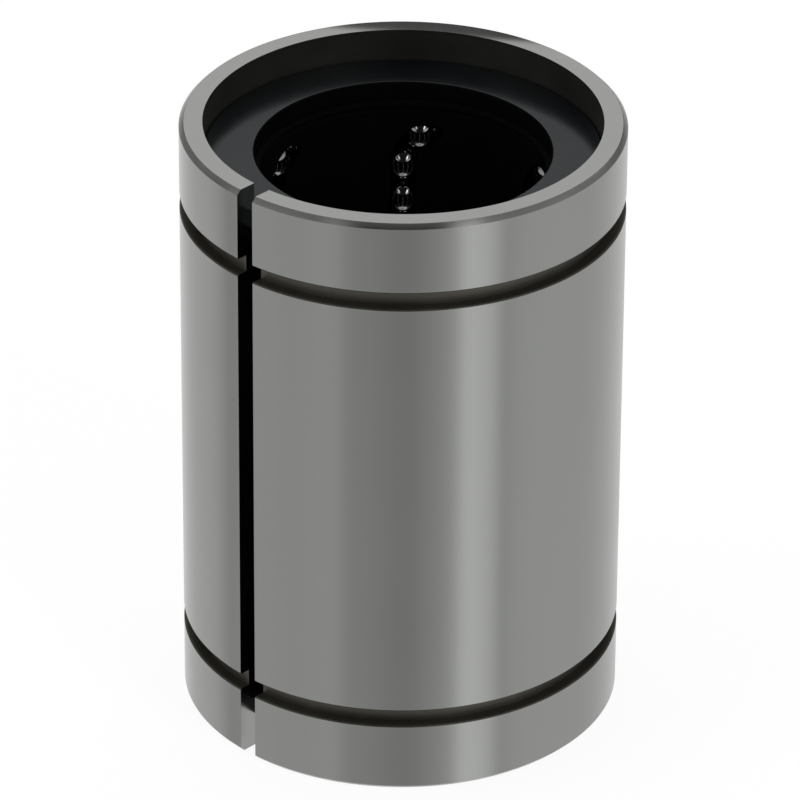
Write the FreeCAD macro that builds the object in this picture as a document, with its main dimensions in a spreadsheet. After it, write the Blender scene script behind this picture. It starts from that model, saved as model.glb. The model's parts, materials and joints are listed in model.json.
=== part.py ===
"""Adjustable linear ball bearing for a 30 mm shaft.

The shaft axis is +Z, the lower end face stands on Z = 0 and -Y is the front.
All lengths are in millimetres and all angles in degrees.
"""

import FreeCAD, Part
import math
import os

import Sketcher

SIZES = [
    ("shaft_diameter", 30.0, "shaft that the bearing runs on"),
    ("sleeve_length", 68.0, "over both end faces"),
    ("sleeve_wall", 2.5, "from the end bore to the ground outside"),
    ("rim_chamfer", 0.5, "outer edge of each end face"),
    ("ring_groove_span", 52.1, "over the far walls of the two retaining-ring grooves"),
    ("ring_groove_width", 1.85, "along the axis"),
    ("ring_groove_depth", 1.25, "of the retaining-ring grooves"),
    ("ring_groove_chamfer", 0.15, "edges of the retaining-ring grooves"),
    ("end_bore_chamfer", 0.2, "inner edge of each end face"),
    ("slit_width", 2.15, "adjusting slit through the sleeve wall"),
    ("slit_angle", 43.7, "from the front, clockwise seen from above"),
    ("ball_diameter", 3.969, "five thirty-seconds of an inch"),
    ("ball_gap", 0.131, "between neighbouring balls of a train"),
    ("ball_play", 0.05, "from a loaded ball to the shaft and to the raceway"),
    ("ball_lead", 0.25, "from the last loaded ball to the start of the upper turn"),
    ("turn_balls", 3, "balls in each half turn"),
    ("circuits", 6, "ball circuits around the shaft"),
    ("raceway_overrun", 0.1, "raceway past the end of the loaded row"),
    ("raceway_lead_in", 1.1, "taper from the raceway to the end bore, along the axis"),
    ("return_clearance", 0.09, "around a ball in the sleeve's return groove"),
    ("turn_clearance", 0.1101, "from a returning ball to the end bore around the turns"),
    ("cage_shaft_gap", 0.55, "between the cage and the shaft"),
    ("cage_gap", 0.33, "between the cage and the raceway"),
    ("cage_end_wall", 0.6, "least cage wall past the end of a track"),
    ("cage_chamfer", 0.4, "edges of the cage's ends"),
    ("track_clearance", 0.1, "around a ball in its track"),
    ("recess_depth", 3.5, "from an end face to the end ring"),
    ("end_ring_thickness", 1.9, "along the axis"),
    ("end_ring_gap", 0.57, "between the end ring and the shaft"),
    ("end_ring_chamfer", 0.15, "outer-face edges of the end ring"),
    ("seat_gap", 0.02, "between the rings and the end bore"),
    ("wiper_thickness", 1.2, "along the axis"),
    ("lip_height", 1.25, "of the lip above the wiper's body"),
    ("lip_gap", 0.05, "from the wiper's lip to the shaft"),
    ("lip_land", 0.5, "length of the lip along the shaft"),
]

PITCH = "(sizes.ball_diameter + sizes.ball_gap)"
BALL_RADIUS = "(sizes.ball_diameter / 2)"
MIDDLE = "(sizes.sleeve_length / 2)"
SHAFT_RADIUS = "(sizes.shaft_diameter / 2)"

# Three balls sit a chord of one pitch apart on the half turn, so the train keeps its spacing there.
TURN_RADIUS = f"({PITCH} / (2 * sin(90 deg / sizes.turn_balls)))"

# The circuit lies flat in the plane that touches the ring of loaded ball centres at the loaded row.
LOAD_RADIUS = f"({SHAFT_RADIUS} + sizes.ball_play + {BALL_RADIUS})"
RACEWAY_RADIUS = f"({LOAD_RADIUS} + {BALL_RADIUS} + sizes.ball_play)"
TRACK_RADIUS = f"({BALL_RADIUS} + sizes.track_clearance)"
RETURN_X = f"(-2 * {TURN_RADIUS})"
RETURN_RADIUS = f"sqrt({LOAD_RADIUS} ^ 2 + {RETURN_X} ^ 2)"

# The sleeve is laid out from the returning balls outwards.
END_BORE_RADIUS = f"({RETURN_RADIUS} + {BALL_RADIUS} + sizes.turn_clearance)"
OUTER_RADIUS = f"({END_BORE_RADIUS} + sizes.sleeve_wall)"
GROOVE_RADIUS = f"({OUTER_RADIUS} - sizes.ring_groove_depth)"

CAGE_RADIUS = f"({RACEWAY_RADIUS} - sizes.cage_gap)"
CAGE_BORE_RADIUS = f"({SHAFT_RADIUS} + sizes.cage_shaft_gap)"
CAGE_FOOT = "(sizes.recess_depth + sizes.end_ring_thickness + sizes.wiper_thickness)"
CAGE_TOP = f"(sizes.sleeve_length - {CAGE_FOOT})"

SEAT_RADIUS = f"({END_BORE_RADIUS} - sizes.seat_gap)"
RING_BORE_RADIUS = f"({SHAFT_RADIUS} + sizes.end_ring_gap)"
LIP_RADIUS = f"({SHAFT_RADIUS} + sizes.lip_gap)"
WIPER_ROOT_RADIUS = f"({LIP_RADIUS} + sizes.lip_height)"

doc = FreeCAD.newDocument("linear_ball_bearing")


def write_sizes():
    """Put the driving dimensions into the document's sheet."""
    sheet = doc.addObject("Spreadsheet::Sheet", "sizes")
    for row, (alias, size, meaning) in enumerate(SIZES, start=1):
        sheet.set(f"A{row}", alias)
        sheet.set(f"B{row}", str(size))
        sheet.set(f"C{row}", meaning)
        sheet.setAlias(f"B{row}", alias)
    doc.recompute()
    return sheet


sizes = write_sizes()


def number(expression):
    """Return what an expression of the sheet comes to."""
    result = sizes.evalExpression(expression)
    return float(getattr(result, "Value", result))


# As many whole pitches as fit between the two turns make up each straight row.
TURN_ROOM = f"(sizes.cage_end_wall + {TRACK_RADIUS} + {TURN_RADIUS})"
STRAIGHT_BALLS = math.floor(number(f"({CAGE_TOP} - {CAGE_FOOT} - 2 * {TURN_ROOM}) / {PITCH}"))
TURN_BALLS = int(number("sizes.turn_balls"))
CIRCUITS = int(number("sizes.circuits"))
HALF_RUN = f"({STRAIGHT_BALLS} * {PITCH} / 2)"
RUN_TOP = f"({MIDDLE} + {HALF_RUN})"
RUN_FOOT = f"({MIDDLE} - {HALF_RUN})"


def new_body(label):
    """Add an empty body."""
    body = doc.addObject("PartDesign::Body", label)
    body.Label = label
    return body


def origin_feature(body, role):
    """Find one of a body's own base planes or axes."""
    for feature in body.Origin.OriginFeatures:
        if feature.Role == role:
            return feature
    raise LookupError(role)


def new_sketch(body, name, role):
    """Add a sketch on one of the body's base planes."""
    sketch = body.newObject("Sketcher::SketchObject", name)
    sketch.AttachmentSupport = [(origin_feature(body, role), "")]
    sketch.MapMode = "FlatFace"
    return sketch


def bind(sketch, kind, references, expression):
    """Add a dimension to a sketch and tie it to the sheet."""
    index = sketch.addConstraint(Sketcher.Constraint(kind, *references, number(expression)))
    sketch.setExpression(f"Constraints[{index}]", expression)


def draw_outline(sketch, corners):
    """Draw a closed run of lines through corners given as pairs of expressions."""
    points = [FreeCAD.Vector(number(across), number(along), 0) for across, along in corners]
    count = len(points)
    for index in range(count):
        sketch.addGeometry(Part.LineSegment(points[index], points[(index + 1) % count]), False)
    for index in range(count):
        sketch.addConstraint(Sketcher.Constraint("Coincident", index, 2, (index + 1) % count, 1))
    for index, (across, along) in enumerate(corners):
        bind(sketch, "DistanceX", (-1, 1, index, 1), across)
        bind(sketch, "DistanceY", (-1, 1, index, 1), along)


def draw_circle(sketch, across, along, radius):
    """Draw a circle whose centre and radius are expressions."""
    centre = FreeCAD.Vector(number(across), number(along), 0)
    circle = Part.Circle(centre, FreeCAD.Vector(0, 0, 1), number(radius))
    index = sketch.addGeometry(circle, False)
    bind(sketch, "DistanceX", (-1, 1, index, 3), across)
    bind(sketch, "DistanceY", (-1, 1, index, 3), along)
    bind(sketch, "Radius", (index,), radius)


def draw_circuit(sketch, offset):
    """Draw the circuit's closed path: two straight rows joined by half turns, moved out by an offset."""
    across = f"(-{TURN_RADIUS})"
    radius = f"({TURN_RADIUS} + {offset})"
    centre_x = number(across)
    reach = number(radius)
    top = number(RUN_TOP)
    foot = number(RUN_FOOT)
    normal = FreeCAD.Vector(0, 0, 1)
    top_circle = Part.Circle(FreeCAD.Vector(centre_x, top, 0), normal, reach)
    foot_circle = Part.Circle(FreeCAD.Vector(centre_x, foot, 0), normal, reach)
    right_foot = FreeCAD.Vector(centre_x + reach, foot, 0)
    right_top = FreeCAD.Vector(centre_x + reach, top, 0)
    left_top = FreeCAD.Vector(centre_x - reach, top, 0)
    left_foot = FreeCAD.Vector(centre_x - reach, foot, 0)
    load = sketch.addGeometry(Part.LineSegment(right_foot, right_top), False)
    upper = sketch.addGeometry(Part.ArcOfCircle(top_circle, 0, math.pi), False)
    back = sketch.addGeometry(Part.LineSegment(left_top, left_foot), False)
    lower = sketch.addGeometry(Part.ArcOfCircle(foot_circle, math.pi, 2 * math.pi), False)
    for first, second in ((load, upper), (upper, back), (back, lower), (lower, load)):
        sketch.addConstraint(Sketcher.Constraint("Tangent", first, 2, second, 1))
    for arc, along in ((upper, RUN_TOP), (lower, RUN_FOOT)):
        bind(sketch, "DistanceX", (-1, 1, arc, 3), across)
        bind(sketch, "DistanceY", (-1, 1, arc, 3), along)
        bind(sketch, "Radius", (arc,), radius)


def revolve(body, name, corners):
    """Turn a closed profile of radius and height pairs about the shaft axis."""
    profile = new_sketch(body, f"{name}_profile", "XZ_Plane")
    draw_outline(profile, corners)
    turned = body.newObject("PartDesign::Revolution", name)
    turned.Profile = profile
    turned.ReferenceAxis = (profile, ["V_Axis"])
    turned.Angle = 360
    doc.recompute()
    return turned


def cut_through(body, name, sketch):
    """Cut a sketch of the base plane through everything above it."""
    pocket = body.newObject("PartDesign::Pocket", name)
    pocket.Profile = sketch
    pocket.Type = "ThroughAll"
    pocket.Reversed = True
    doc.recompute()
    return pocket


def repeat_around(body, name, features):
    """Repeat cuts once for each ball circuit."""
    pattern = body.newObject("PartDesign::PolarPattern", name)
    pattern.Originals = features
    pattern.Axis = (origin_feature(body, "Z_Axis"), [""])
    pattern.Angle = 360
    pattern.setExpression("Occurrences", "sizes.circuits")
    body.Tip = pattern
    doc.recompute()
    return pattern


def upper_half(corners):
    """Turn corners of the sleeve's lower half over, in the order that carries on round the profile."""
    return [(radius, f"(sizes.sleeve_length - {height})") for radius, height in reversed(corners)]


def build_sleeve():
    """Steel sleeve with raceway, return grooves, retaining-ring grooves and the adjusting slit."""
    body = new_body("outer_sleeve")
    groove_foot = "((sizes.sleeve_length - sizes.ring_groove_span) / 2)"
    groove_head = f"({groove_foot} + sizes.ring_groove_width)"
    raceway_foot = f"({RUN_FOOT} - sizes.raceway_overrun)"
    rim_radius = f"({OUTER_RADIUS} - sizes.rim_chamfer)"
    mouth_radius = f"({END_BORE_RADIUS} + sizes.end_bore_chamfer)"
    groove_edge_radius = f"({OUTER_RADIUS} - sizes.ring_groove_chamfer)"
    lower_outside = [
        (rim_radius, "0"),
        (OUTER_RADIUS, "sizes.rim_chamfer"),
        (OUTER_RADIUS, f"({groove_foot} - sizes.ring_groove_chamfer)"),
        (groove_edge_radius, groove_foot),
        (GROOVE_RADIUS, groove_foot),
        (GROOVE_RADIUS, groove_head),
        (groove_edge_radius, groove_head),
        (OUTER_RADIUS, f"({groove_head} + sizes.ring_groove_chamfer)"),
    ]
    lower_inside = [
        (RACEWAY_RADIUS, raceway_foot),
        (END_BORE_RADIUS, f"({raceway_foot} - sizes.raceway_lead_in)"),
        (END_BORE_RADIUS, "sizes.end_bore_chamfer"),
        (mouth_radius, "0"),
    ]
    upper_outside = upper_half(lower_outside)
    upper_inside = upper_half(lower_inside)
    revolve(body, "sleeve_blank", lower_outside + upper_outside + upper_inside + lower_inside)

    groove_sketch = new_sketch(body, "return_groove_sketch", "XY_Plane")
    groove_size = f"({BALL_RADIUS} + sizes.return_clearance)"
    draw_circle(groove_sketch, RETURN_X, f"(-{LOAD_RADIUS})", groove_size)
    groove = cut_through(body, "return_groove", groove_sketch)
    repeat_around(body, "return_grooves", [groove])

    slit_sketch = new_sketch(body, "slit_sketch", "XY_Plane")
    slit_sketch.setExpression("AttachmentOffset.Rotation.Angle", "-sizes.slit_angle * 1 deg")
    half_slit = "(sizes.slit_width / 2)"
    outside = f"(-{OUTER_RADIUS} - sizes.slit_width)"
    inside = f"(-{SHAFT_RADIUS})"
    draw_outline(slit_sketch, [
        (f"(-{half_slit})", outside),
        (half_slit, outside),
        (half_slit, inside),
        (f"(-{half_slit})", inside),
    ])
    cut_through(body, "slit", slit_sketch)
    return body


def build_cage():
    """Moulded cage with one closed ball track for each circuit."""
    body = new_body("ball_cage")
    edge = "sizes.cage_chamfer"
    revolve(body, "cage_tube", [
        (f"{CAGE_BORE_RADIUS} + {edge}", CAGE_FOOT),
        (f"{CAGE_RADIUS} - {edge}", CAGE_FOOT),
        (CAGE_RADIUS, f"{CAGE_FOOT} + {edge}"),
        (CAGE_RADIUS, f"{CAGE_TOP} - {edge}"),
        (f"{CAGE_RADIUS} - {edge}", CAGE_TOP),
        (f"{CAGE_BORE_RADIUS} + {edge}", CAGE_TOP),
        (CAGE_BORE_RADIUS, f"{CAGE_TOP} - {edge}"),
        (CAGE_BORE_RADIUS, f"{CAGE_FOOT} + {edge}"),
    ])

    path = new_sketch(body, "track_path", "XZ_Plane")
    path.setExpression("AttachmentOffset.Base.z", LOAD_RADIUS)
    draw_circuit(path, "0")
    section = new_sketch(body, "track_section", "XY_Plane")
    section.setExpression("AttachmentOffset.Base.z", RUN_FOOT)
    draw_circle(section, "0", f"(-{LOAD_RADIUS})", TRACK_RADIUS)
    doc.recompute()
    floor = body.newObject("PartDesign::SubtractivePipe", "track_floor")
    floor.Profile = section
    floor.Spine = (path, ["Edge1", "Edge2", "Edge3", "Edge4"])
    doc.recompute()

    walls_sketch = new_sketch(body, "track_walls_sketch", "XZ_Plane")
    walls_sketch.setExpression("AttachmentOffset.Base.z", LOAD_RADIUS)
    draw_circuit(walls_sketch, TRACK_RADIUS)
    draw_circuit(walls_sketch, f"(-{TRACK_RADIUS})")
    walls = cut_through(body, "track_walls", walls_sketch)
    repeat_around(body, "tracks", [floor, walls])
    return body


def build_end_ring(label):
    """Flat ring with its outer face on its own base plane."""
    body = new_body(label)
    edge = "sizes.end_ring_chamfer"
    back = "(-sizes.end_ring_thickness)"
    revolve(body, f"{label}_blank", [
        (f"{RING_BORE_RADIUS} + {edge}", "0"),
        (f"{SEAT_RADIUS} - {edge}", "0"),
        (SEAT_RADIUS, f"(-{edge})"),
        (SEAT_RADIUS, back),
        (RING_BORE_RADIUS, back),
        (RING_BORE_RADIUS, f"(-{edge})"),
    ])
    return body


def build_wiper(label):
    """Rubber wiper with its outer face on its own base plane and a lip that meets the shaft."""
    body = new_body(label)
    back = "(-sizes.wiper_thickness)"
    land_front = "((sizes.lip_land - sizes.wiper_thickness) / 2)"
    land_back = "(-(sizes.lip_land + sizes.wiper_thickness) / 2)"
    revolve(body, f"{label}_blank", [
        (SEAT_RADIUS, "0"),
        (WIPER_ROOT_RADIUS, "0"),
        (LIP_RADIUS, land_front),
        (LIP_RADIUS, land_back),
        (WIPER_ROOT_RADIUS, back),
        (SEAT_RADIUS, back),
    ])
    return body


def stand_at(body, depth, upper):
    """Set a ring's outer face a depth below the upper end face, or turned over above the lower one."""
    if upper:
        body.setExpression("Placement.Base.z", f"sizes.sleeve_length - {depth}")
    else:
        turned_over = FreeCAD.Rotation(FreeCAD.Vector(1, 0, 0), 180)
        body.Placement = FreeCAD.Placement(FreeCAD.Vector(0, 0, 0), turned_over)
        body.setExpression("Placement.Base.z", depth)


def new_ball(name, across, along):
    """Add a ball of the first circuit."""
    ball = doc.addObject("Part::Sphere", name)
    ball.setExpression("Radius", BALL_RADIUS)
    ball.setExpression("Placement.Base.x", across)
    ball.setExpression("Placement.Base.y", f"-{LOAD_RADIUS}")
    ball.setExpression("Placement.Base.z", along)
    return ball


def build_train():
    """Make the balls of the first circuit, grouped by the stretch of track that they are on."""
    train = {"load_row": [], "upper_turn": [], "return_row": [], "lower_turn": []}
    for index in range(STRAIGHT_BALLS):
        step = f"(sizes.ball_lead + {index} * {PITCH})"
        load_ball = new_ball(f"load_ball_{index + 1}", "0", f"{RUN_TOP} - {step}")
        train["load_row"].append(load_ball)
        return_ball = new_ball(f"return_ball_{index + 1}", RETURN_X, f"{RUN_FOOT} + {step}")
        train["return_row"].append(return_ball)
    for index in range(TURN_BALLS):
        steps = f"({index + 1} - sizes.ball_lead / {PITCH})"
        angle = f"({steps} * 180 deg / sizes.turn_balls)"
        across = f"{TURN_RADIUS} * cos({angle})"
        along = f"{TURN_RADIUS} * sin({angle})"
        upper_place = (f"-{TURN_RADIUS} + {across}", f"{RUN_TOP} + {along}")
        lower_place = (f"-{TURN_RADIUS} - {across}", f"{RUN_FOOT} - {along}")
        train["upper_turn"].append(new_ball(f"upper_ball_{index + 1}", *upper_place))
        train["lower_turn"].append(new_ball(f"lower_ball_{index + 1}", *lower_place))
    doc.recompute()
    return train


def build_circuits(train):
    """Set the first circuit's ball groups around the shaft, once for each circuit."""
    groups = []
    for circuit in range(CIRCUITS):
        for stretch, balls in train.items():
            label = f"{stretch}_{circuit + 1}"
            group = doc.addObject("Part::Compound", label)
            group.Label = label
            group.Links = balls
            group.setExpression("Placement.Rotation.Angle", f"{circuit} * 360 deg / sizes.circuits")
            groups.append(group)
    doc.recompute()
    return groups


def build_ends():
    """Make the end ring and the wiper of both ends."""
    pieces = []
    for side in ("upper", "lower"):
        ring = build_end_ring(f"{side}_end_ring")
        stand_at(ring, "sizes.recess_depth", side == "upper")
        wiper = build_wiper(f"{side}_wiper")
        stand_at(wiper, "(sizes.recess_depth + sizes.end_ring_thickness)", side == "upper")
        pieces += [ring, wiper]
    doc.recompute()
    return pieces


def write_parts(nodes):
    """Check every object and write one file for each piece."""
    for item in doc.Objects:
        if "Invalid" in item.State or "Error" in item.State:
            raise RuntimeError(f"{item.Label} did not build")
    os.makedirs("parts", exist_ok=True)
    for node in nodes:
        if node.Shape.isNull() or not node.Shape.isValid():
            raise RuntimeError(f"{node.Label} has no sound shape")
        node.Shape.exportStep(f"parts/{node.Label}.step")


sleeve = build_sleeve()
cage = build_cage()
ends = build_ends()
ball_groups = build_circuits(build_train())
write_parts([sleeve, cage] + ends + ball_groups)
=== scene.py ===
"""Studio scene of an adjustable linear ball bearing.

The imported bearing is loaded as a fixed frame. The turned pieces are modelled again with broken edges and the
balls as closed spheres, the moulded cage keeps its solid, and every surface gets a finish of its own.
"""

import json
import logging
import math
from dataclasses import dataclass
from enum import Enum
from itertools import pairwise
from typing import ClassVar

import bpy
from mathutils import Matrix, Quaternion, Vector

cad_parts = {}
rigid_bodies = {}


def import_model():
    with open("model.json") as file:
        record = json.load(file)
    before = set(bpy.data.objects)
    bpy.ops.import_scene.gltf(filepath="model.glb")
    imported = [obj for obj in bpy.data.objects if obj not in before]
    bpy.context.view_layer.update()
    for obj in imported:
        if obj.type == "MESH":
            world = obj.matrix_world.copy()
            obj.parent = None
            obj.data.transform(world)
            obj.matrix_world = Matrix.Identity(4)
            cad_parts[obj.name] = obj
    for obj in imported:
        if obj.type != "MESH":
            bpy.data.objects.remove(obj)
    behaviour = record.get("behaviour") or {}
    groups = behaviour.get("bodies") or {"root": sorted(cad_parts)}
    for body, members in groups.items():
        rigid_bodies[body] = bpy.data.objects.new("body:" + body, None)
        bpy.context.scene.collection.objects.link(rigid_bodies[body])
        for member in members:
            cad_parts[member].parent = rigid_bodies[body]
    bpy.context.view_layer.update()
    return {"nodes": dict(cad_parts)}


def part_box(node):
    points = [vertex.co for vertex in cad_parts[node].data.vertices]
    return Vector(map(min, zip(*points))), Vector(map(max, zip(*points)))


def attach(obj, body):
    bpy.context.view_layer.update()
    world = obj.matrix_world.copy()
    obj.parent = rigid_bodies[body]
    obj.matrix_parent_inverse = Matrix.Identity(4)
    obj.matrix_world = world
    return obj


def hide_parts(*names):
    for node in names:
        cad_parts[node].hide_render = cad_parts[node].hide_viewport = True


LOG = logging.getLogger("linear_ball_bearing")
MM = 0.001
CIRCUITS = 6
LOAD_RADIUS = 17.0345 * MM
PICTURE_CENTRE = Vector((-0.1749 * MM, 0.0, 34.3156 * MM))
WHITE = (1.0, 1.0, 1.0, 1.0)
FADE_IN = (0.0, 1.0)
FADE_OUT = (1.0, 0.0)
# The mix node has sockets for each type of data. These are the places of its colours.
MIX_COLOURS = (6, 7)
MIX_RESULT = 2
Point = tuple[float, float]
Colour = tuple[float, float, float]
Socket = bpy.types.NodeSocket


class End(Enum):
    """The two ends of the bearing."""

    UPPER = "upper"
    LOWER = "lower"


class Stretch(Enum):
    """The four stretches of a ball circuit."""

    LOAD_ROW = "load_row"
    RETURN_ROW = "return_row"
    UPPER_TURN = "upper_turn"
    LOWER_TURN = "lower_turn"


class SleeveFace(Enum):
    """The kinds of face on the sleeve, numbered as its material slots."""

    GROUND = 0
    LAPPED = 1
    DARK = 2
    CUT = 3
    GROOVE = 4


class NodeGraph:
    """Adds and links the nodes of one node tree."""

    def __init__(self, tree: bpy.types.NodeTree) -> None:
        """Start on a tree, emptied of its default nodes."""
        self.tree = tree
        self.tree.nodes.clear()

    def add(self, kind: str, **settings: object) -> bpy.types.Node:
        """Add a node.

        Args:
            kind: The node's type name.
            settings: Attributes to set on the node.

        Returns:
            The new node.
        """
        node = self.tree.nodes.new(kind)
        for name, value in settings.items():
            setattr(node, name, value)
        return node

    def link(self, source: Socket, target: Socket) -> None:
        """Join an output to an input."""
        self.tree.links.new(source, target)

    def math(self, operation: str, *values: object) -> Socket:
        """Add a maths node.

        Args:
            operation: Its operation, such as MULTIPLY.
            values: Its inputs in order, each a socket to link or a number to set.

        Returns:
            The node's output.
        """
        node = self.add("ShaderNodeMath", operation=operation)
        for socket, value in zip(node.inputs, values):
            if isinstance(value, Socket):
                self.link(value, socket)
            else:
                socket.default_value = value
        return node.outputs[0]

    def ramp(self, factor: Socket, stops: list[tuple[float, Colour]]) -> Socket:
        """Add a colour ramp.

        Args:
            factor: The value to look up.
            stops: Positions and colours, in order.

        Returns:
            The ramp's colour output.
        """
        node = self.add("ShaderNodeValToRGB")
        elements = node.color_ramp.elements
        while len(elements) < len(stops):
            elements.new(1.0)
        for element, (position, colour) in zip(elements, stops):
            element.position = position
            element.color = (*colour, 1.0)
        self.link(factor, node.inputs["Fac"])
        return node.outputs["Color"]


def grey(level: float) -> Colour:
    """Return a neutral colour of one level."""
    return (level, level, level)


def new_group(name: str, inputs: dict[str, float], outputs: list[str]) -> tuple[NodeGraph, dict, dict]:
    """Make an empty shader node group that works on values.

    Args:
        name: The group's name.
        inputs: Names and default values of its inputs.
        outputs: Names of its outputs.

    Returns:
        The group's graph, its input sockets and its output sockets, both by name.
    """
    tree = bpy.data.node_groups.new(name, "ShaderNodeTree")
    for label, value in inputs.items():
        socket = tree.interface.new_socket(label, in_out="INPUT", socket_type="NodeSocketFloat")
        socket.default_value = value
    for label in outputs:
        tree.interface.new_socket(label, in_out="OUTPUT", socket_type="NodeSocketFloat")
    graph = NodeGraph(tree)
    entry = graph.add("NodeGroupInput")
    leave = graph.add("NodeGroupOutput")
    return graph, dict(entry.outputs.items()), dict(leave.inputs.items())


class SurfaceEffects:
    """The shader node groups that the finishes share."""

    LINE_DETAIL = 3.0
    LINE_ROUGHNESS = 0.6
    PATCH_DETAIL = 5.0

    def __init__(self) -> None:
        """Build each group once."""
        self.lathe_lines = self.build_lathe_lines()
        self.patches = self.build_patches()

    @classmethod
    def build_lathe_lines(cls) -> bpy.types.NodeTree:
        """Build fine lines that run round the shaft axis, as turning and grinding leave them.

        Returns:
            A group with the inputs Lines per mm and Waver and the output Lines, from 0 to 1.
        """
        graph, entry, leave = new_group("lathe_lines", {"Lines per mm": 8.0, "Waver": 0.4}, ["Lines"])
        place = graph.add("ShaderNodeTexCoord")
        parts = graph.add("ShaderNodeSeparateXYZ")
        graph.link(place.outputs["Object"], parts.inputs["Vector"])
        across, depth, height = parts.outputs
        square_x = graph.math("MULTIPLY", across, across)
        square_y = graph.math("MULTIPLY", depth, depth)
        radius = graph.math("SQRT", graph.math("ADD", square_x, square_y))
        along = graph.math("ADD", radius, height)
        angle = graph.math("ARCTAN2", depth, across)
        density = graph.math("MULTIPLY", entry["Lines per mm"], 1.0 / MM)
        point = graph.add("ShaderNodeCombineXYZ")
        graph.link(graph.math("MULTIPLY", along, density), point.inputs["X"])
        graph.link(graph.math("MULTIPLY", angle, entry["Waver"]), point.inputs["Y"])
        noise = graph.add("ShaderNodeTexNoise", noise_dimensions="2D")
        noise.inputs["Scale"].default_value = 1.0
        noise.inputs["Detail"].default_value = cls.LINE_DETAIL
        noise.inputs["Roughness"].default_value = cls.LINE_ROUGHNESS
        graph.link(point.outputs["Vector"], noise.inputs["Vector"])
        graph.link(noise.outputs["Fac"], leave["Lines"])
        return graph.tree

    @classmethod
    def build_patches(cls) -> bpy.types.NodeTree:
        """Build soft uneven patches, as handling, oil and heat leave them.

        Returns:
            A group with the inputs Patches per mm and Fine and the output Patches, from 0 to 1.
        """
        graph, entry, leave = new_group("patches", {"Patches per mm": 0.1, "Fine": 0.5}, ["Patches"])
        place = graph.add("ShaderNodeTexCoord")
        noise = graph.add("ShaderNodeTexNoise")
        graph.link(place.outputs["Object"], noise.inputs["Vector"])
        graph.link(graph.math("MULTIPLY", entry["Patches per mm"], 1.0 / MM), noise.inputs["Scale"])
        noise.inputs["Detail"].default_value = cls.PATCH_DETAIL
        graph.link(entry["Fine"], noise.inputs["Roughness"])
        graph.link(noise.outputs["Fac"], leave["Patches"])
        return graph.tree


@dataclass(frozen=True)
class Finish:
    """A finish with patchy colour and roughness, and fine lines or grain as relief."""

    LINE_SHARE: ClassVar[float] = 0.4
    PATCH_SHARE: ClassVar[float] = 0.6
    MIX_LOW: ClassVar[float] = 0.3
    MIX_HIGH: ClassVar[float] = 0.7
    QUARTER_TURN: ClassVar[float] = 0.25

    name: str
    dark: Colour
    light: Colour
    smooth: float
    rough: float
    metallic: float
    lines_per_mm: float
    line_depth: float
    patches_per_mm: float
    anisotropy: float = 0.0
    specular: float = 0.5
    sheen: Colour = (1.0, 1.0, 1.0)

    def build(self, effects: SurfaceEffects) -> bpy.types.Material:
        """Make the material.

        Args:
            effects: The shared node groups.

        Returns:
            The new material.
        """
        material = bpy.data.materials.new(self.name)
        material.use_nodes = True
        graph = NodeGraph(material.node_tree)
        output = graph.add("ShaderNodeOutputMaterial")
        shader = graph.add("ShaderNodeBsdfPrincipled")
        graph.link(shader.outputs["BSDF"], output.inputs["Surface"])
        shader.inputs["Metallic"].default_value = self.metallic
        shader.inputs["Specular IOR Level"].default_value = self.specular
        shader.inputs["Specular Tint"].default_value = (*self.sheen, 1.0)

        lines = graph.add("ShaderNodeGroup", node_tree=effects.lathe_lines)
        lines.inputs["Lines per mm"].default_value = self.lines_per_mm
        patches = graph.add("ShaderNodeGroup", node_tree=effects.patches)
        patches.inputs["Patches per mm"].default_value = self.patches_per_mm
        fine = graph.math("MULTIPLY", lines.outputs["Lines"], self.LINE_SHARE)
        broad = graph.math("MULTIPLY", patches.outputs["Patches"], self.PATCH_SHARE)
        mixed = graph.math("ADD", fine, broad)
        colour = graph.ramp(mixed, [(self.MIX_LOW, self.dark), (self.MIX_HIGH, self.light)])
        graph.link(colour, shader.inputs["Base Color"])

        spread = graph.add("ShaderNodeMapRange")
        graph.link(mixed, spread.inputs["Value"])
        spread.inputs["From Min"].default_value = self.MIX_LOW
        spread.inputs["From Max"].default_value = self.MIX_HIGH
        spread.inputs["To Min"].default_value = self.smooth
        spread.inputs["To Max"].default_value = self.rough
        graph.link(spread.outputs["Result"], shader.inputs["Roughness"])

        relief = graph.add("ShaderNodeBump")
        relief.inputs["Strength"].default_value = 1.0
        relief.inputs["Distance"].default_value = self.line_depth
        graph.link(lines.outputs["Lines"], relief.inputs["Height"])
        graph.link(relief.outputs["Normal"], shader.inputs["Normal"])

        if self.anisotropy:
            shader.inputs["Anisotropic"].default_value = self.anisotropy
            shader.inputs["Anisotropic Rotation"].default_value = self.QUARTER_TURN
            around = graph.add("ShaderNodeTangent", direction_type="RADIAL", axis="Z")
            graph.link(around.outputs["Tangent"], shader.inputs["Tangent"])
        return material


GROUND_STEEL = Finish(
    "ground_steel", dark=(0.428, 0.437, 0.422), light=(0.452, 0.460, 0.445), smooth=0.29, rough=0.32,
    metallic=1.0, lines_per_mm=14.0, line_depth=0.0003 * MM, patches_per_mm=0.08, anisotropy=1.0,
)
LAPPED_STEEL = Finish(
    "lapped_steel", dark=(0.366, 0.372, 0.360), light=(0.384, 0.390, 0.378), smooth=0.008, rough=0.015,
    metallic=0.92, lines_per_mm=9.0, line_depth=0.0, patches_per_mm=0.12,
)
# The oxide of the bores and recesses. The grooves have a copy of it below.
DARK_OXIDE = Finish(
    "dark_oxide", dark=(0.062, 0.061, 0.053), light=(0.087, 0.086, 0.075), smooth=0.36, rough=0.46,
    metallic=0.9, lines_per_mm=6.0, line_depth=0.002 * MM, patches_per_mm=0.25,
)
# The same dark oxide as in the bores, painted lighter. Its lighter colour is painted light for the outer
# grooves, against the shade in the bores.
GROOVE_OXIDE_PAINTED_LIGHT = Finish(
    "groove_oxide_painted_light", dark=(0.104, 0.099, 0.084), light=(0.140, 0.133, 0.114), smooth=0.40, rough=0.50,
    metallic=0.9, lines_per_mm=6.0, line_depth=0.002 * MM, patches_per_mm=0.25,
)
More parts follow.
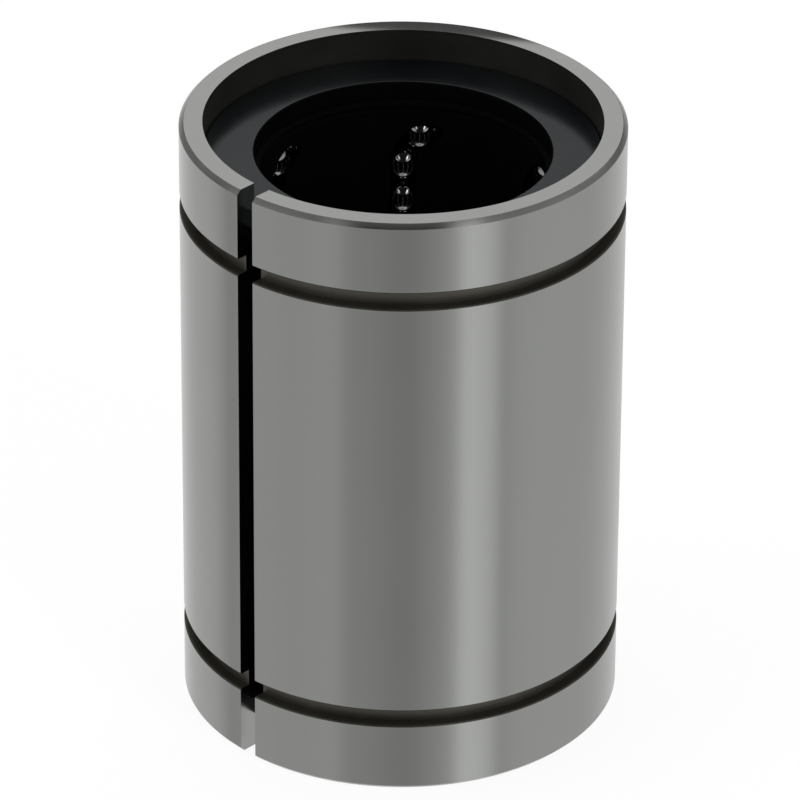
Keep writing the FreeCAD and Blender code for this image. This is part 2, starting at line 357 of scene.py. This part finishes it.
CUT_STEEL = Finish(
    "cut_steel", dark=(0.36, 0.365, 0.355), light=(0.41, 0.415, 0.405), smooth=0.17, rough=0.23,
    metallic=1.0, lines_per_mm=3.0, line_depth=0.001 * MM, patches_per_mm=0.3,
)
RING_RESIN = Finish(
    "ring_resin", dark=(0.0012, 0.0015, 0.0020), light=(0.0020, 0.0024, 0.0031), smooth=0.19, rough=0.24,
    metallic=0.0, lines_per_mm=5.0, line_depth=0.0012 * MM, patches_per_mm=0.3, specular=0.62,
    sheen=(0.90, 0.97, 1.0),
)
WIPER_RUBBER = Finish(
    "wiper_rubber", dark=grey(0.0010), light=grey(0.0018), smooth=0.62, rough=0.72,
    metallic=0.0, lines_per_mm=4.0, line_depth=0.003 * MM, patches_per_mm=0.6, specular=0.03,
)
CAGE_RESIN = Finish(
    "cage_resin", dark=grey(0.0010), light=grey(0.0018), smooth=0.50, rough=0.60,
    metallic=0.0, lines_per_mm=3.0, line_depth=0.002 * MM, patches_per_mm=0.4, specular=0.07,
)
BALL_STEEL = Finish(
    "ball_steel", dark=grey(0.44), light=grey(0.49), smooth=0.05, rough=0.07,
    metallic=1.0, lines_per_mm=2.0, line_depth=0.00005 * MM, patches_per_mm=0.5,
)


class Workshop:
    """Mesh work in the way of a lathe and a milling machine."""

    MERGE_DISTANCE = 0.0005 * MM
    SHARP_ANGLE = math.radians(25.0)
    SMOOTH_ANGLE = math.radians(50.0)
    LEVEL_FACING = 0.9999
    FACE_WEIGHT = 100

    @staticmethod
    def select_only(piece: bpy.types.Object) -> None:
        """Select one object and make it active."""
        bpy.ops.object.select_all(action="DESELECT")
        piece.select_set(True)
        bpy.context.view_layer.objects.active = piece

    @classmethod
    def turn(cls, name: str, profile: list[Point], segments: int) -> bpy.types.Object:
        """Turn a closed ring from a profile.

        Args:
            name: The new object's name.
            profile: Corners of the section as radius and height, in order around it.
            segments: Faces around the axis.

        Returns:
            The ring, with its place in its mesh.
        """
        bpy.ops.object.select_all(action="DESELECT")
        radius, height = profile[0]
        bpy.ops.mesh.primitive_circle_add(vertices=segments, radius=radius, location=(0.0, 0.0, height))
        ring = bpy.context.object
        ring.name = name
        bpy.ops.object.transform_apply(location=True, rotation=False, scale=False)
        bpy.ops.object.mode_set(mode="EDIT")
        bpy.ops.mesh.select_all(action="SELECT")
        for (radius, height), (next_radius, next_height) in pairwise([*profile, profile[0]]):
            lift = (0.0, 0.0, next_height - height)
            bpy.ops.mesh.extrude_edges_move(TRANSFORM_OT_translate={"value": lift})
            widen = next_radius / radius
            centre = (0.0, 0.0, next_height)
            bpy.ops.transform.resize(value=(widen, widen, 1.0), center_override=centre)
        bpy.ops.mesh.select_all(action="SELECT")
        bpy.ops.mesh.remove_doubles(threshold=cls.MERGE_DISTANCE)
        bpy.ops.mesh.normals_make_consistent(inside=False)
        bpy.ops.object.mode_set(mode="OBJECT")
        return ring

    @classmethod
    def cut(cls, piece: bpy.types.Object, cutter: bpy.types.Object) -> None:
        """Cut one object out of another and delete the cutter."""
        cls.select_only(piece)
        cut = piece.modifiers.new("cut", "BOOLEAN")
        cut.operation = "DIFFERENCE"
        cut.solver = "EXACT"
        cut.object = cutter
        bpy.ops.object.modifier_apply(modifier=cut.name)
        bpy.data.objects.remove(cutter)

    @classmethod
    def break_edges(cls, piece: bpy.types.Object, width: float, steps: int = 2) -> None:
        """Round the sharp edges a little and smooth the rest, apart from level faces, which stay flat.

        Args:
            piece: The object to finish.
            width: The width of the broken edge.
            steps: Faces across the edge.
        """
        cls.select_only(piece)
        bevel = piece.modifiers.new("broken_edges", "BEVEL")
        bevel.width = width
        bevel.segments = steps
        bevel.limit_method = "ANGLE"
        bevel.angle_limit = cls.SHARP_ANGLE
        bevel.use_clamp_overlap = True
        bpy.ops.object.modifier_apply(modifier=bevel.name)
        bpy.ops.object.shade_smooth_by_angle(angle=cls.SMOOTH_ANGLE)
        for face in piece.data.polygons:
            face.use_smooth = abs(face.normal.z) < cls.LEVEL_FACING
        even = piece.modifiers.new("even_faces", "WEIGHTED_NORMAL")
        even.keep_sharp = True
        even.weight = cls.FACE_WEIGHT
        bpy.ops.object.modifier_apply(modifier=even.name)


@dataclass
class OuterSleeve:
    """The steel sleeve: ground outside, dark in its grooves and bores, with painted light making the grooves'
    oxide lighter than the bores', cut bare in its slit.

    The facing values are cosines: how squarely a face looks along a direction.
    """

    FACING: ClassVar[float] = 0.9
    CHAMFER_FACING: ClassVar[float] = 0.5
    SIDEWAYS: ClassVar[float] = 0.3
    SLIT_OVERRUN: ClassVar[float] = 1.2

    outer_radius: float
    length: float
    wall: float = 2.5 * MM
    rim_chamfer: float = 0.5 * MM
    groove_span: float = 52.1 * MM
    groove_width: float = 1.85 * MM
    groove_depth: float = 1.25 * MM
    groove_chamfer: float = 0.15 * MM
    raceway_radius: float = 19.069 * MM
    raceway_length: float = 41.2 * MM
    lead_in: float = 1.1 * MM
    load_radius: float = LOAD_RADIUS
    return_offset: float = 8.2 * MM
    return_groove_radius: float = 2.0745 * MM
    return_groove_margin: float = 6.0 * MM
    return_groove_segments: int = 48
    circuits: int = CIRCUITS
    slit_width: float = 2.15 * MM
    slit_angle: float = -43.7
    edge_break: float = 0.07 * MM
    segments: int = 288

    def profile(self) -> list[Point]:
        """Return the corners of the sleeve's section as radius and height."""
        outer = self.outer_radius
        bore = outer - self.wall
        floor = outer - self.groove_depth
        foot = (self.length - self.groove_span) / 2.0
        head = foot + self.groove_width
        middle = self.length / 2.0
        half = self.raceway_length / 2.0
        lower_outside = [
            (outer - self.rim_chamfer, 0.0),
            (outer, self.rim_chamfer),
            (outer, foot - self.groove_chamfer),
            (outer - self.groove_chamfer, foot),
            (floor, foot),
            (floor, head),
            (outer - self.groove_chamfer, head),
            (outer, head + self.groove_chamfer),
        ]
        lower_inside = [
            (self.raceway_radius, middle - half),
            (bore, middle - half - self.lead_in),
            (bore, 0.0),
        ]
        upper_outside = [(radius, self.length - height) for radius, height in reversed(lower_outside)]
        upper_inside = [(radius, self.length - height) for radius, height in reversed(lower_inside)]
        return lower_outside + upper_outside + upper_inside + lower_inside

    def cut_return_grooves(self, sleeve: bpy.types.Object) -> None:
        """Cut the groove of each circuit's returning row into the raceway."""
        radius = math.hypot(self.load_radius, self.return_offset)
        first = math.atan2(-self.load_radius, -self.return_offset)
        for circuit in range(self.circuits):
            angle = first + math.tau * circuit / self.circuits
            bpy.ops.object.select_all(action="DESELECT")
            bpy.ops.mesh.primitive_cylinder_add(
                vertices=self.return_groove_segments,
                radius=self.return_groove_radius,
                depth=self.length - 2.0 * self.return_groove_margin,
                location=(radius * math.cos(angle), radius * math.sin(angle), self.length / 2.0),
            )
            Workshop.cut(sleeve, bpy.context.object)

    def slit_axes(self) -> tuple[Vector, Vector]:
        """Return the directions out through the slit and across it."""
        angle = math.radians(self.slit_angle)
        outward = Vector((math.sin(angle), -math.cos(angle), 0.0))
        return outward, Vector((math.cos(angle), math.sin(angle), 0.0))

    def cut_slit(self, sleeve: bpy.types.Object) -> None:
        """Cut the adjusting slit through the wall along the whole length."""
        angle = math.radians(self.slit_angle)
        outward, _ = self.slit_axes()
        reach = self.wall + self.outer_radius - self.raceway_radius
        centre = outward * self.outer_radius + Vector((0.0, 0.0, self.length / 2.0))
        bpy.ops.object.select_all(action="DESELECT")
        bpy.ops.mesh.primitive_cube_add(size=1.0, location=centre, rotation=(0.0, 0.0, angle))
        cutter = bpy.context.object
        cutter.scale = (self.slit_width, 2.0 * reach, self.length * self.SLIT_OVERRUN)
        bpy.ops.object.transform_apply(location=True, rotation=True, scale=True)
        Workshop.cut(sleeve, cutter)

    def kind(self, face: bpy.types.MeshPolygon) -> SleeveFace:
        """Tell what finish a face of the sleeve has, by its place and the way that it looks."""
        radius = math.hypot(face.center.x, face.center.y)
        outward = (face.normal.x * face.center.x + face.normal.y * face.center.y) / radius
        from_end = min(face.center.z, self.length - face.center.z)
        through, across = self.slit_axes()
        in_slit = face.center.dot(through) > 0.0 and abs(face.center.dot(across)) < self.slit_width / 2.0
        if in_slit or abs(face.normal.dot(across)) > self.FACING and abs(outward) < self.SIDEWAYS:
            return SleeveFace.CUT
        least = self.CHAMFER_FACING if from_end < self.wall else self.FACING
        if radius > self.outer_radius - self.rim_chamfer and outward > least:
            return SleeveFace.GROUND
        if abs(radius - self.raceway_radius) < self.edge_break and outward < -self.FACING:
            return SleeveFace.GROUND
        if from_end < self.edge_break and abs(face.normal.z) > self.FACING:
            return SleeveFace.LAPPED
        in_groove = radius > self.outer_radius - self.groove_depth - self.edge_break
        return SleeveFace.GROOVE if in_groove else SleeveFace.DARK

    def build(self, finishes: dict[SleeveFace, bpy.types.Material]) -> bpy.types.Object:
        """Model and dress the sleeve in place of its plain solid.

        Args:
            finishes: The material of each kind of face.

        Returns:
            The sleeve.
        """
        sleeve = Workshop.turn("sleeve", self.profile(), self.segments)
        self.cut_return_grooves(sleeve)
        self.cut_slit(sleeve)
        Workshop.break_edges(sleeve, self.edge_break)
        sleeve.data.materials.clear()
        for kind in SleeveFace:
            sleeve.data.materials.append(finishes[kind])
        for face in sleeve.data.polygons:
            face.material_index = self.kind(face).value
        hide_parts("outer_sleeve")
        return sleeve


@dataclass
class EndClosure:
    """The black end ring and the wiper behind it at one end."""

    end: End
    ring_gap: float = 0.57 * MM
    ring_chamfer: float = 0.15 * MM
    shaft_radius: float = 15.0 * MM
    lip_gap: float = 0.05 * MM
    lip_height: float = 1.25 * MM
    lip_land: float = 0.5 * MM
    edge_break: float = 0.05 * MM
    lip_round: float = 0.12 * MM
    segments: int = 240

    def heights(self, node: str) -> tuple[float, float]:
        """Return the heights of a node's outer and inner faces."""
        low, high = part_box(node)
        return (high.z, low.z) if self.end is End.UPPER else (low.z, high.z)

    def build_ring(self, resin: bpy.types.Material, matt: bpy.types.Material) -> bpy.types.Object:
        """Model and dress the end ring.

        Args:
            resin: The finish of the ring's flat faces.
            matt: The finish of its bore.

        Returns:
            The ring.
        """
        node = f"{self.end.value}_end_ring"
        front, back = self.heights(node)
        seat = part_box(node)[1].x
        bore = self.shaft_radius + self.ring_gap
        inward = math.copysign(1.0, back - front)
        edge = front + inward * self.ring_chamfer
        ring = Workshop.turn(f"{self.end.value}_ring", [
            (bore + self.ring_chamfer, front),
            (seat - self.ring_chamfer, front),
            (seat, edge),
            (seat, back),
            (bore, back),
            (bore, edge),
        ], self.segments)
        Workshop.break_edges(ring, self.edge_break)
        ring.data.materials.clear()
        ring.data.materials.append(resin)
        ring.data.materials.append(matt)
        for face in ring.data.polygons:
            face.material_index = int(math.hypot(face.center.x, face.center.y) < bore + self.ring_chamfer)
        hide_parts(node)
        return ring

    def build_wiper(self, rubber: bpy.types.Material) -> bpy.types.Object:
        """Model and dress the wiper.

        Args:
            rubber: The wiper's finish.

        Returns:
            The wiper.
        """
        node = f"{self.end.value}_wiper"
        front, back = self.heights(node)
        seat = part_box(node)[1].x
        lip = self.shaft_radius + self.lip_gap
        root = lip + self.lip_height
        middle = (front + back) / 2.0
        half_land = math.copysign(self.lip_land / 2.0, front - back)
        wiper = Workshop.turn(f"{self.end.value}_lip", [
            (seat, front),
            (root, front),
            (lip, middle + half_land),
            (lip, middle - half_land),
            (root, back),
            (seat, back),
        ], self.segments)
        Workshop.break_edges(wiper, self.lip_round, steps=3)
        wiper.data.materials.clear()
        wiper.data.materials.append(rubber)
        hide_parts(node)
        return wiper


@dataclass
class BallCircuits:
    """The cage and the balls in its tracks, laid out in the front circuit and turned to the others."""

    nodes: dict[str, bpy.types.Object]
    circuits: int = CIRCUITS
    row_balls: int = 10
    turn_balls: int = 3
    ball_radius: float = 1.9845 * MM
    pitch: float = 4.1 * MM
    lead: float = 0.25 * MM
    load_radius: float = LOAD_RADIUS
    run_foot: float = 13.5 * MM
    run_top: float = 54.5 * MM
    fineness: int = 3

    @staticmethod
    def coat(piece: bpy.types.Object, material: bpy.types.Material) -> None:
        """Put a finish on a piece."""
        piece.data.materials.clear()
        piece.data.materials.append(material)

    def places(self, stretch: Stretch) -> list[Point]:
        """Work out where the balls of a stretch lie in the front circuit.

        Args:
            stretch: The stretch of the circuit.

        Returns:
            The distance across from the loaded row and the height of each ball.
        """
        turn = self.pitch / (2.0 * math.sin(math.pi / (2.0 * self.turn_balls)))
        steps = [self.lead + index * self.pitch for index in range(self.row_balls)]
        first = 1.0 - self.lead / self.pitch
        angles = [(first + index) * math.pi / self.turn_balls for index in range(self.turn_balls)]
        if stretch is Stretch.LOAD_ROW:
            return [(0.0, self.run_top - step) for step in steps]
        if stretch is Stretch.RETURN_ROW:
            return [(-2.0 * turn, self.run_foot + step) for step in steps]
        if stretch is Stretch.UPPER_TURN:
            return [
                (turn * (math.cos(angle) - 1.0), self.run_top + turn * math.sin(angle)) for angle in angles
            ]
        return [
            (-turn * (math.cos(angle) + 1.0), self.run_foot - turn * math.sin(angle)) for angle in angles
        ]

    def build_balls(self, stretch: Stretch, circuit: int, steel: bpy.types.Material) -> bpy.types.Object:
        """Model and dress the balls of one stretch in place of their plain solids.

        Args:
            stretch: The stretch of the circuit.
            circuit: The circuit's number, from 1.
            steel: The balls' finish.

        Returns:
            The balls as one piece.
        """
        angle = math.tau * (circuit - 1) / self.circuits
        across_way = Vector((math.cos(angle), math.sin(angle), 0.0))
        outward = Vector((math.sin(angle), -math.cos(angle), 0.0))
        balls = []
        for across, height in self.places(stretch):
            centre = across_way * across + outward * self.load_radius + Vector((0.0, 0.0, height))
            bpy.ops.object.select_all(action="DESELECT")
            bpy.ops.mesh.primitive_ico_sphere_add(
                subdivisions=self.fineness, radius=self.ball_radius, location=centre)
            balls.append(bpy.context.object)
        for ball in balls:
            ball.select_set(True)
        bpy.ops.object.join()
        group = bpy.context.object
        body = f"{stretch.value}_{circuit}"
        group.name = f"{body}_balls"
        bpy.ops.object.transform_apply(location=True, rotation=False, scale=False)
        bpy.ops.object.shade_smooth()
        self.coat(group, steel)
        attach(group, body)
        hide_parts(body)
        return group

    def build(self, resin: bpy.types.Material, steel: bpy.types.Material) -> None:
        """Dress the cage and make the balls of every circuit.

        Args:
            resin: The cage's finish.
            steel: The balls' finish.
        """
        self.coat(self.nodes["ball_cage"], resin)
        for circuit in range(1, self.circuits + 1):
            for stretch in Stretch:
                self.build_balls(stretch, circuit, steel)


@dataclass(frozen=True)
class Panel:
    """A soft light panel, placed by its bearing from the front."""

    name: str
    bearing: float
    elevation: float
    distance: float
    width: float
    height: float
    power: float

    def build(self, target: Vector) -> bpy.types.Object:
        """Hang the panel so that it faces the object.

        Args:
            target: The point that it faces.

        Returns:
            The lamp.
        """
        bearing, rise = math.radians(self.bearing), math.radians(self.elevation)
        level = math.cos(rise)
        away = Vector((math.sin(bearing) * level, -math.cos(bearing) * level, math.sin(rise)))
        light = bpy.data.lights.new(self.name, "AREA")
        light.shape = "RECTANGLE"
        light.size = self.width
        light.size_y = self.height
        light.energy = self.power
        lamp = bpy.data.objects.new(self.name, light)
        bpy.context.scene.collection.objects.link(lamp)
        lamp.location = target + away * self.distance
        lamp.rotation_mode = "QUATERNION"
        lamp.rotation_quaternion = away.to_track_quat("Z", "Y")
        lamp.visible_camera = False
        lamp.visible_glossy = False
        return lamp


@dataclass(frozen=True)
class Surround:
    """What is around the object: white to the camera, light panels and darker gaps to polished steel.

    Bearings are in degrees from the front, positive to the right, and levels are shares of white. Fades and
    strips lie between two shares of a direction of length 1.
    """

    ambient: float = 0.45
    below: tuple[Point, ...] = (
        (-180.0, 1.80), (-165.0, 1.59), (-150.0, 1.14), (-136.0, 0.85), (-120.0, 0.84), (-109.0, 0.79),
        (-102.0, 0.56), (-97.0, 0.14), (-90.0, 0.64), (-84.0, 0.70), (-62.0, 0.59), (-38.0, 0.67),
        (-33.0, 0.655), (-30.0, 0.545), (-16.0, 0.56), (-6.0, 0.50), (5.0, 0.475), (15.0, 0.57),
        (21.0, 0.60), (29.0, 0.54), (31.4, 1.06), (43.0, 1.07), (49.4, 1.09), (51.4, 0.38), (57.5, 0.65),
        (70.0, 0.70), (117.0, 0.735), (134.0, 0.90), (160.0, 1.28), (180.0, 1.5),
    )
    above: tuple[Point, ...] = (
        (-180.0, 0.76), (-154.0, 0.76), (-144.0, 0.14), (-104.0, 0.10), (-97.0, 0.40), (-64.0, 0.45),
        (-37.0, 0.45), (-25.0, 0.012), (16.0, 0.012), (29.0, 0.6), (51.0, 0.6), (55.0, 0.40),
        (90.0, 0.40), (104.0, 0.24), (142.0, 0.26), (152.0, 0.76), (180.0, 0.76),
    )
    overhead: tuple[Point, ...] = (
        (-180.0, 0.76), (-142.0, 0.76), (-130.0, 0.12), (-64.0, 0.18), (-50.0, 0.012), (50.0, 0.012),
        (64.0, 0.18), (130.0, 0.18), (142.0, 0.76), (180.0, 0.76),
    )
    back_edge: Colour = (-0.0702, -0.4458, 0.8924)
    back_gap: float = 0.05
    back_fade: Point = (-0.0004, 0.0004)
    ceiling_fade: Point = (0.50, 0.62)
    horizon_fade: Point = (-0.05, 0.10)
    downward_fade: Point = (-0.9, -0.1)
    downward_levels: Point = (1.3, 0.7)
    underneath_fade: Point = (-0.95, -0.80)
    underneath_levels: Point = (0.45, 1.0)
    strip_levels: Point = (0.95, 2.2)
    strip_split: Point = (-0.01, 0.01)
    strip_sides: Point = (0.50, 0.76)
    strip_ends: Point = (-0.76, -0.40)
    strip_blur: float = 0.04
    least_height: float = 0.001

    @staticmethod
    def around(graph: NodeGraph, turn: Socket, levels: tuple[Point, ...]) -> Socket:
        """Look up the level of a bearing as a colour.

        Args:
            graph: The world's graph.
            turn: Share of the full turn, from the back round by the left.
            levels: Bearings and levels.

        Returns:
            The colour.
        """
        return graph.ramp(turn, [(bearing / 360.0 + 0.5, grey(level)) for bearing, level in levels])

    def mirrored(self, graph: NodeGraph) -> Socket:
        """Work out what polished steel mirrors in each direction.

        Args:
            graph: The world's graph.

        Returns:
            The colour.
        """
        place = graph.add("ShaderNodeTexCoord")
        parts = graph.add("ShaderNodeSeparateXYZ")
        graph.link(place.outputs["Generated"], parts.inputs["Vector"])
        across, depth, height = parts.outputs
        bearing = graph.math("ARCTAN2", across, graph.math("MULTIPLY", depth, -1.0))
        turn = graph.math("ADD", graph.math("DIVIDE", bearing, math.tau), 0.5)

        over_edge = graph.add("ShaderNodeVectorMath", operation="DOT_PRODUCT")
        graph.link(place.outputs["Generated"], over_edge.inputs[0])
        over_edge.inputs[1].default_value = self.back_edge
        lit = self.fade(graph, over_edge.outputs["Value"], self.back_fade, (self.back_gap, 1.0))
        walls = self.blend(graph, "MULTIPLY", 1.0, self.around(graph, turn, self.above), lit)
        ceiling = self.fade(graph, height, self.ceiling_fade, FADE_IN)
        room = self.blend(graph, "MIX", ceiling, walls, self.around(graph, turn, self.overhead))
        strips = self.strips(graph, across, depth, height)
        upper = self.blend(graph, "ADD", 1.0, room, strips)
        rise = self.fade(graph, height, self.horizon_fade, FADE_IN)
        downward = self.fade(graph, height, self.downward_fade, self.downward_levels)
        underneath = self.fade(graph, height, self.underneath_fade, self.underneath_levels)
        level = graph.math("MULTIPLY", downward, underneath)
        lower = self.blend(graph, "MULTIPLY", 1.0, self.around(graph, turn, self.below), level)
        return self.blend(graph, "MIX", rise, lower, upper)

    def strips(self, graph: NodeGraph, across: Socket, depth: Socket, height: Socket) -> Socket:
        """Hang two long light strips overhead, one on each side in front of the object.

        Args:
            graph: The world's graph.
            across: The direction's share to the right.
            depth: Its share to the back.
            height: Its share upwards.

        Returns:
            Their level.
        """
        above = graph.math("MAXIMUM", height, self.least_height)
        lean = graph.math("DIVIDE", graph.math("ABSOLUTE", across), above)
        level = self.fade(graph, across, self.strip_split, self.strip_levels)
        for value, (low, high) in ((lean, self.strip_sides), (depth, self.strip_ends)):
            opened = self.fade(graph, value, (low, low + self.strip_blur), FADE_IN)
            closed = self.fade(graph, value, (high - self.strip_blur, high), FADE_OUT)
            level = graph.math("MULTIPLY", graph.math("MULTIPLY", opened, closed), level)
        return level

    @staticmethod
    def blend(graph: NodeGraph, kind: str, factor: Socket | float, first: Socket, second: Socket) -> Socket:
        """Blend two colours.

        Args:
            graph: The world's graph.
            kind: The way of blending.
            factor: The second colour's share.
            first: The first colour.
            second: The second colour.

        Returns:
            The blended colour.
        """
        node = graph.add("ShaderNodeMix", data_type="RGBA", blend_type=kind)
        if isinstance(factor, Socket):
            graph.link(factor, node.inputs["Factor"])
        else:
            node.inputs["Factor"].default_value = factor
        for place, colour in zip(MIX_COLOURS, (first, second)):
            graph.link(colour, node.inputs[place])
        return node.outputs[MIX_RESULT]

    @staticmethod
    def fade(graph: NodeGraph, value: Socket, limits: Point, levels: Point) -> Socket:
        """Pass smoothly from one level to another.

        Args:
            graph: The world's graph.
            value: What the passage depends on.
            limits: Where it begins and ends.
            levels: The levels before and after it.

        Returns:
            The level.
        """
        node = graph.add("ShaderNodeMapRange", interpolation_type="SMOOTHSTEP")
        graph.link(value, node.inputs["Value"])
        for name, setting in zip(("From Min", "From Max", "To Min", "To Max"), (*limits, *levels)):
            node.inputs[name].default_value = setting
        return node.outputs["Result"]

    def build(self) -> None:
        """Make it the scene's world."""
        world = bpy.data.worlds.new("surround")
        bpy.context.scene.world = world
        world.use_nodes = True
        graph = NodeGraph(world.node_tree)
        output = graph.add("ShaderNodeOutputWorld")
        path = graph.add("ShaderNodeLightPath")
        soft = graph.add("ShaderNodeBackground")
        soft.inputs["Color"].default_value = WHITE
        soft.inputs["Strength"].default_value = self.ambient
        shown = graph.add("ShaderNodeBackground")
        graph.link(self.mirrored(graph), shown.inputs["Color"])
        white = graph.add("ShaderNodeBackground")
        white.inputs["Color"].default_value = WHITE
        to_metal = graph.add("ShaderNodeMixShader")
        graph.link(path.outputs["Is Glossy Ray"], to_metal.inputs["Fac"])
        graph.link(soft.outputs["Background"], to_metal.inputs[1])
        graph.link(shown.outputs["Background"], to_metal.inputs[2])
        to_camera = graph.add("ShaderNodeMixShader")
        sees = graph.math("MAXIMUM", path.outputs["Is Camera Ray"], path.outputs["Is Transmission Ray"])
        graph.link(sees, to_camera.inputs["Fac"])
        graph.link(to_metal.outputs["Shader"], to_camera.inputs[1])
        graph.link(white.outputs["Background"], to_camera.inputs[2])
        graph.link(to_camera.outputs["Shader"], output.inputs["Surface"])


@dataclass(frozen=True)
class Studio:
    """The pale floor, the white surround, the light panels and the camera."""

    target: Vector
    camera_distance: float = 735.0 * MM
    camera_elevation: float = 29.606
    camera_roll: float = 0.3537
    lens: float = 309.52
    sensor: float = 36.0
    floor_size: float = 8.0
    floor_level: float = 0.8
    white_share: float = 0.92
    shaded_radius: float = 21.0 * MM
    panels: tuple[Panel, ...] = (
        Panel("right_strip", bearing=40.0, elevation=18.0, distance=0.9, width=0.30, height=0.9, power=6.0),
        Panel("left_panel", bearing=-75.0, elevation=25.0, distance=1.1, width=0.9, height=0.9, power=8.0),
        Panel("top_panel", bearing=180.0, elevation=70.0, distance=1.1, width=1.0, height=1.0, power=8.0),
    )

    def build_camera(self) -> None:
        """Set the camera at the picture's viewing angle."""
        rise = math.radians(self.camera_elevation)
        away = Vector((0.0, -math.cos(rise), math.sin(rise)))
        data = bpy.data.cameras.new("camera")
        data.lens = self.lens
        data.sensor_width = self.sensor
        camera = bpy.data.objects.new("camera", data)
        bpy.context.scene.collection.objects.link(camera)
        camera.location = self.target + away * self.camera_distance
        camera.rotation_mode = "QUATERNION"
        level = away.to_track_quat("Z", "Y")
        camera.rotation_quaternion = level @ Quaternion((0.0, 0.0, 1.0), math.radians(self.camera_roll))
        bpy.context.scene.camera = camera

    def build_floor(self) -> None:
        """Lay the pale floor, white to the camera but for the object's shadow and the shade in its bore."""
        bpy.ops.object.select_all(action="DESELECT")
        bpy.ops.mesh.primitive_plane_add(size=self.floor_size, location=(0.0, 0.0, 0.0))
        floor = bpy.context.object
        floor.name = "floor"
        material = bpy.data.materials.new("pale_floor")
        material.use_nodes = True
        graph = NodeGraph(material.node_tree)
        output = graph.add("ShaderNodeOutputMaterial")
        matte = graph.add("ShaderNodeBsdfDiffuse")
        matte.inputs["Color"].default_value = (*grey(self.floor_level), 1.0)
        white = graph.add("ShaderNodeEmission")
        white.inputs["Color"].default_value = WHITE
        path = graph.add("ShaderNodeLightPath")
        blend = graph.add("ShaderNodeMixShader")
        place = graph.add("ShaderNodeTexCoord")
        from_axis = graph.add("ShaderNodeVectorMath", operation="LENGTH")
        graph.link(place.outputs["Object"], from_axis.inputs[0])
        outside = graph.math("GREATER_THAN", from_axis.outputs["Value"], self.shaded_radius)
        share = graph.math("MULTIPLY", path.outputs["Is Camera Ray"], self.white_share)
        share = graph.math("MULTIPLY", share, outside)
        graph.link(share, blend.inputs["Fac"])
        graph.link(matte.outputs["BSDF"], blend.inputs[1])
        graph.link(white.outputs["Emission"], blend.inputs[2])
        graph.link(blend.outputs["Shader"], output.inputs["Surface"])
        floor.data.materials.append(material)
        floor.visible_glossy = False

    def build(self) -> None:
        """Set up the whole studio."""
        bpy.context.scene.view_settings.view_transform = "Standard"
        self.build_floor()
        Surround().build()
        for panel in self.panels:
            panel.build(self.target)
        self.build_camera()


def main() -> None:
    """Build the dressed bearing and its studio."""
    logging.basicConfig(level=logging.INFO, format="%(message)s")
    for leftover in list(bpy.data.objects):
        bpy.data.objects.remove(leftover)
    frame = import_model()
    effects = SurfaceEffects()

    low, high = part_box("outer_sleeve")
    sleeve = OuterSleeve(outer_radius=min(high.x, high.y, -low.x, -low.y), length=high.z - low.z)
    piece = sleeve.build({
        SleeveFace.GROUND: GROUND_STEEL.build(effects),
        SleeveFace.LAPPED: LAPPED_STEEL.build(effects),
        SleeveFace.DARK: DARK_OXIDE.build(effects),
        SleeveFace.CUT: CUT_STEEL.build(effects),
        SleeveFace.GROOVE: GROOVE_OXIDE_PAINTED_LIGHT.build(effects),
    })
    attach(piece, "bearing")
    LOG.info("sleeve: %d faces", len(piece.data.polygons))

    ring_resin = RING_RESIN.build(effects)
    rubber = WIPER_RUBBER.build(effects)
    for end in End:
        closure = EndClosure(end)
        for piece in (closure.build_ring(ring_resin, rubber), closure.build_wiper(rubber)):
            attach(piece, "bearing")
            LOG.info("%s: %d faces", piece.name, len(piece.data.polygons))

    circuits = BallCircuits(frame["nodes"])
    circuits.build(CAGE_RESIN.build(effects), BALL_STEEL.build(effects))
    LOG.info("cage and %d ball circuits dressed", circuits.circuits)

    Studio(target=PICTURE_CENTRE).build()


if __name__ == "__main__":
    main()
